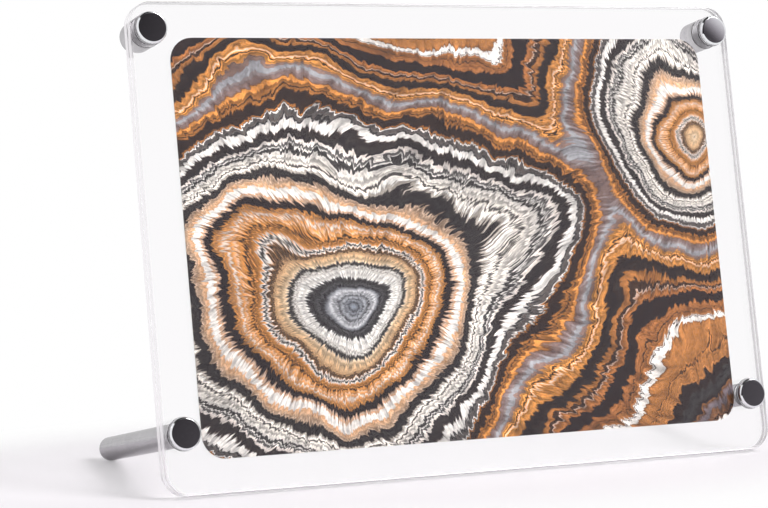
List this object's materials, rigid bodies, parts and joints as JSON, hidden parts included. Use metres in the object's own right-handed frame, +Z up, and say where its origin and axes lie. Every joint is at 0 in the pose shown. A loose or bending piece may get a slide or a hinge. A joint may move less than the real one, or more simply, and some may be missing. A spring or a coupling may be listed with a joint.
{
  "type": "acrylic photo frame",
  "caption": "Leaning desk frame of clear acrylic sheets on chrome-capped standoffs, clamping a landscape print; the rear legs prop it up.",
  "frame": {"origin": "centre of the object's box in X and Y, on the table", "axes": "+Z up, +X to the right along the sheets' width as seen from the front, -Y towards the viewer; the sheets lean back towards +Y"},
  "size_m": [0.254, 0.0828, 0.1744],
  "materials": {
    "clear_sheet": "clear cast acrylic, polished faces and edges",
    "print": "glossy colour print in warm browns, white back",
    "cap_chrome": "mirror polished",
    "satin_steel": "satin, fine turned grain",
    "stud_steel": "plain zinc-plated thread",
    "washer": "smoky grey, with darker rims"
  },
  "bodies": {
    "stand": {"rear_panel": "clear_sheet", "rear_washer_top_left": "washer", "rear_washer_top_right": "washer", "rear_washer_bottom_left": "washer", "rear_washer_bottom_right": "washer", "barrel_top_left": "satin_steel", "barrel_top_right": "satin_steel", "leg_bottom_left": "satin_steel", "leg_bottom_right": "satin_steel"},
    "front": {"front_panel": "clear_sheet"},
    "photo": {"photo_print": "print"},
    "washer_top_left": {"front_washer_top_left": "washer"},
    "cap_top_left": {"cap_top_left": "cap_chrome", "stud_top_left": "stud_steel"},
    "washer_top_right": {"front_washer_top_right": "washer"},
    "cap_top_right": {"cap_top_right": "cap_chrome", "stud_top_right": "stud_steel"},
    "washer_bottom_left": {"front_washer_bottom_left": "washer"},
    "cap_bottom_left": {"cap_bottom_left": "cap_chrome", "stud_bottom_left": "stud_steel"},
    "washer_bottom_right": {"front_washer_bottom_right": "washer"},
    "cap_bottom_right": {"cap_bottom_right": "cap_chrome", "stud_bottom_right": "stud_steel"}
  },
  "joints": [
    {"name": "front_slide", "type": "slide", "parent": "stand", "child": "front", "axis": [0, -0.972, 0.2349], "range_m": [0, 0.03]},
    {"name": "photo_slide", "type": "slide", "parent": "stand", "child": "photo", "axis": [0, 0.2349, 0.972], "range_m": [0, 0.16]},
    {"name": "cap_top_left_travel", "type": "slide", "parent": "front", "child": "washer_top_left", "axis": [0, -0.972, 0.2349], "range_m": [0, 0.0048]},
    {"name": "cap_top_left_turn", "type": "hinge", "parent": "washer_top_left", "child": "cap_top_left", "pos_m": [-0.1195, -0.00204, 0.16446], "axis": [0, -0.972, 0.2349], "range_deg": [0, 2161]},
    {"name": "cap_top_right_travel", "type": "slide", "parent": "front", "child": "washer_top_right", "axis": [0, -0.972, 0.2349], "range_m": [0, 0.0048]},
    {"name": "cap_top_right_turn", "type": "hinge", "parent": "washer_top_right", "child": "cap_top_right", "pos_m": [0.1195, -0.00204, 0.16446], "axis": [0, -0.972, 0.2349], "range_deg": [0, 2161]},
    {"name": "cap_bottom_left_travel", "type": "slide", "parent": "front", "child": "washer_bottom_left", "axis": [0, -0.972, 0.2349], "range_m": [0, 0.0048]},
    {"name": "cap_bottom_left_turn", "type": "hinge", "parent": "washer_bottom_left", "child": "cap_bottom_left", "pos_m": [-0.1195, -0.03629, 0.02274], "axis": [0, -0.972, 0.2349], "range_deg": [0, 2161]},
    {"name": "cap_bottom_right_travel", "type": "slide", "parent": "front", "child": "washer_bottom_right", "axis": [0, -0.972, 0.2349], "range_m": [0, 0.0048]},
    {"name": "cap_bottom_right_turn", "type": "hinge", "parent": "washer_bottom_right", "child": "cap_bottom_right", "pos_m": [0.1195, -0.03629, 0.02274], "axis": [0, -0.972, 0.2349], "range_deg": [0, 2161]}
  ],
  "couplings": [
    {"joint": "cap_top_left_turn", "follows": "cap_top_left_travel", "rad_per_m": 7854},
    {"joint": "cap_top_right_turn", "follows": "cap_top_right_travel", "rad_per_m": 7854},
    {"joint": "cap_bottom_left_turn", "follows": "cap_bottom_left_travel", "rad_per_m": 7854},
    {"joint": "cap_bottom_right_turn", "follows": "cap_bottom_right_travel", "rad_per_m": 7854}
  ]
}
